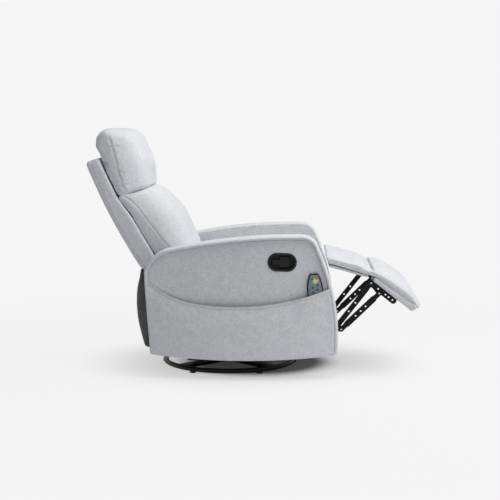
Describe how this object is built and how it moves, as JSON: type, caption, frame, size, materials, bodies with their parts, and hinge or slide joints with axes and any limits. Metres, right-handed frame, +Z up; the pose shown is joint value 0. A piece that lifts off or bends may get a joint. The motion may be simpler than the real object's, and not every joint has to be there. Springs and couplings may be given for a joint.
{
  "type": "swivel glider recliner",
  "caption": "Upholstered swivel glider recliner on a ring base, with linkage footrest, side pockets, flush release handle and a remote in the pocket.",
  "frame": {"origin": "on the floor, on the swivel axis, under the base ring", "axes": "+X to the front of the chair, +Y to the sitter's left, +Z up"},
  "size_m": [1.4044, 0.79, 1.0262],
  "materials": {
    "fabric": "woven chenille-look upholstery, light grey",
    "flap_fabric": "dark grey backing cloth",
    "black_steel": "black powder coat, satin",
    "bright_steel": "zinc plated",
    "wood": "unfinished hardwood and plywood",
    "black_plastic": "black moulded plastic, fine texture",
    "glide_plastic": "black moulded nylon",
    "keypad": "blue-green keypad film",
    "red_key": "red silicone",
    "blue_key": "dark blue silicone"
  },
  "bodies": {
    "base": {"base_ring": "black_steel", "base_spider": "black_steel", "base_glides": "glide_plastic", "lower_bearing_race": "bright_steel", "bearing_balls": "bright_steel", "king_bolt": "bright_steel"},
    "swivel_frame": {"upper_bearing_race": "bright_steel", "glider_frame": "black_steel", "glider_stand_right": "black_steel", "glider_stand_left": "black_steel", "glide_upper_pins": "bright_steel"},
    "front_glide_links": {"glide_link_front_right": "black_steel", "glide_link_front_left": "black_steel"},
    "rear_glide_links": {"glide_link_rear_right": "black_steel", "glide_link_rear_left": "black_steel"},
    "chassis": {"side_plate_right": "black_steel", "side_plate_left": "black_steel", "glide_lower_pins": "bright_steel", "arm_spacers": "bright_steel", "arm_bolts": "bright_steel", "cross_rails": "black_steel", "seat_frame": "wood", "seat_springs": "bright_steel", "seat_cushion": "fabric", "mechanism_pins": "bright_steel", "right_arm": "fabric", "left_arm": "fabric", "arm_frames": "wood", "right_pocket": "fabric", "left_pocket": "fabric", "handle_bezel": "black_plastic", "rear_rail": "wood", "rear_flap": "flap_fabric"},
    "handle": {"release_handle": "black_plastic"},
    "back": {"back_shell": "fabric", "back_frame": "wood", "back_brackets": "black_steel", "head_pillow": "fabric", "lumbar_cushion": "fabric"},
    "calf_rest": {"calf_cushion": "fabric", "calf_board": "wood"},
    "foot_rest": {"foot_cushion": "fabric", "foot_board": "fabric", "ottoman_brackets": "black_steel", "ottoman_rivets": "black_steel"},
    "swing_links": {"swing_link_right": "black_steel", "swing_link_left": "black_steel"},
    "lower_links": {"lower_link_right": "black_steel", "lower_link_left": "black_steel"},
    "upper_links": {"upper_link_right": "black_steel", "upper_link_left": "black_steel"},
    "remote": {"remote_case": "black_plastic", "remote_overlay": "keypad"},
    "power_button": {"power_key": "red_key"},
    "light_button": {"light_key": "blue_key"},
    "back_button": {"back_key": "blue_key"},
    "lumbar_button": {"lumbar_key": "blue_key"},
    "seat_button": {"seat_key": "blue_key"},
    "leg_button": {"leg_key": "blue_key"},
    "heat_button": {"heat_key": "blue_key"}
  },
  "joints": [
    {"name": "swivel", "type": "hinge", "parent": "base", "child": "swivel_frame", "pos_m": [0, 0, 0.03], "axis": [0, 0, 1], "continuous": true},
    {"name": "glide", "type": "hinge", "parent": "swivel_frame", "child": "front_glide_links", "pos_m": [0.15, 0, 0.215], "axis": [0, -1, 0], "range_deg": [-20, 20]},
    {"name": "chassis_level", "type": "hinge", "parent": "front_glide_links", "child": "chassis", "pos_m": [0.15, 0, 0.105], "axis": [0, -1, 0], "range_deg": [-20, 20]},
    {"name": "rear_glide", "type": "hinge", "parent": "swivel_frame", "child": "rear_glide_links", "pos_m": [-0.15, 0, 0.215], "axis": [0, -1, 0], "range_deg": [-20, 20]},
    {"name": "back_recline", "type": "hinge", "parent": "chassis", "child": "back", "pos_m": [-0.25, 0, 0.412], "axis": [0, -1, 0], "range_deg": [-14, 18]},
    {"name": "footrest_fold", "type": "hinge", "parent": "chassis", "child": "calf_rest", "pos_m": [0.4, 0, 0.497], "axis": [0, 1, 0], "range_deg": [0, 74]},
    {"name": "foot_fold", "type": "hinge", "parent": "calf_rest", "child": "foot_rest", "pos_m": [0.608, 0, 0.44], "axis": [0, 1, 0], "range_deg": [-20.01, 0]},
    {"name": "swing_link_pivot", "type": "hinge", "parent": "chassis", "child": "swing_links", "pos_m": [0.275, 0, 0.4], "axis": [0, 1, 0], "range_deg": [0, 74.08]},
    {"name": "lower_link_pivot", "type": "hinge", "parent": "foot_rest", "child": "lower_links", "pos_m": [0.636, 0, 0.34], "axis": [0, 1, 0], "range_deg": [-24.44, 0]},
    {"name": "upper_link_pivot", "type": "hinge", "parent": "foot_rest", "child": "upper_links", "pos_m": [0.602, 0, 0.384], "axis": [0, 1, 0], "range_deg": [-20.43, 0]},
    {"name": "release_handle_pull", "type": "hinge", "parent": "chassis", "child": "handle", "pos_m": [0.19637, -0.34771, 0.48333], "axis": [-0.0348, -0.0023, -0.9994], "range_deg": [0, 30], "stiffness_Nm_per_rad": 0.6, "springref_deg": -5.73},
    {"name": "remote_lift", "type": "slide", "parent": "chassis", "child": "remote", "axis": [-0.307, -0.0355, 0.9511], "range_m": [0, 0.085]},
    {"name": "power_press", "type": "slide", "parent": "remote", "child": "power_button", "axis": [-0.1153, 0.9933, 0], "range_m": [0, 0.0005], "stiffness_N_per_m": 400, "springref_m": -0.0006},
    {"name": "light_press", "type": "slide", "parent": "remote", "child": "light_button", "axis": [-0.1153, 0.9933, 0], "range_m": [0, 0.0005], "stiffness_N_per_m": 400, "springref_m": -0.0006},
    {"name": "back_press", "type": "slide", "parent": "remote", "child": "back_button", "axis": [-0.1153, 0.9933, 0], "range_m": [0, 0.0005], "stiffness_N_per_m": 400, "springref_m": -0.0006},
    {"name": "lumbar_press", "type": "slide", "parent": "remote", "child": "lumbar_button", "axis": [-0.1153, 0.9933, 0], "range_m": [0, 0.0005], "stiffness_N_per_m": 400, "springref_m": -0.0006},
    {"name": "seat_press", "type": "slide", "parent": "remote", "child": "seat_button", "axis": [-0.1153, 0.9933, 0], "range_m": [0, 0.0005], "stiffness_N_per_m": 400, "springref_m": -0.0006},
    {"name": "leg_press", "type": "slide", "parent": "remote", "child": "leg_button", "axis": [-0.1153, 0.9933, 0], "range_m": [0, 0.0005], "stiffness_N_per_m": 400, "springref_m": -0.0006},
    {"name": "heat_press", "type": "slide", "parent": "remote", "child": "heat_button", "axis": [-0.1153, 0.9933, 0], "range_m": [0, 0.0005], "stiffness_N_per_m": 400, "springref_m": -0.0006}
  ],
  "couplings": [
    {"joint": "chassis_level", "follows": "glide", "ratio": -1},
    {"joint": "rear_glide", "follows": "glide", "ratio": 1},
    {"joint": "foot_fold", "follows": "footrest_fold", "ratio": -0.27027},
    {"joint": "swing_link_pivot", "follows": "footrest_fold", "ratio": 1.0009},
    {"joint": "lower_link_pivot", "follows": "footrest_fold", "ratio": -0.33018},
    {"joint": "upper_link_pivot", "follows": "footrest_fold", "ratio": -0.27597}
  ]
}
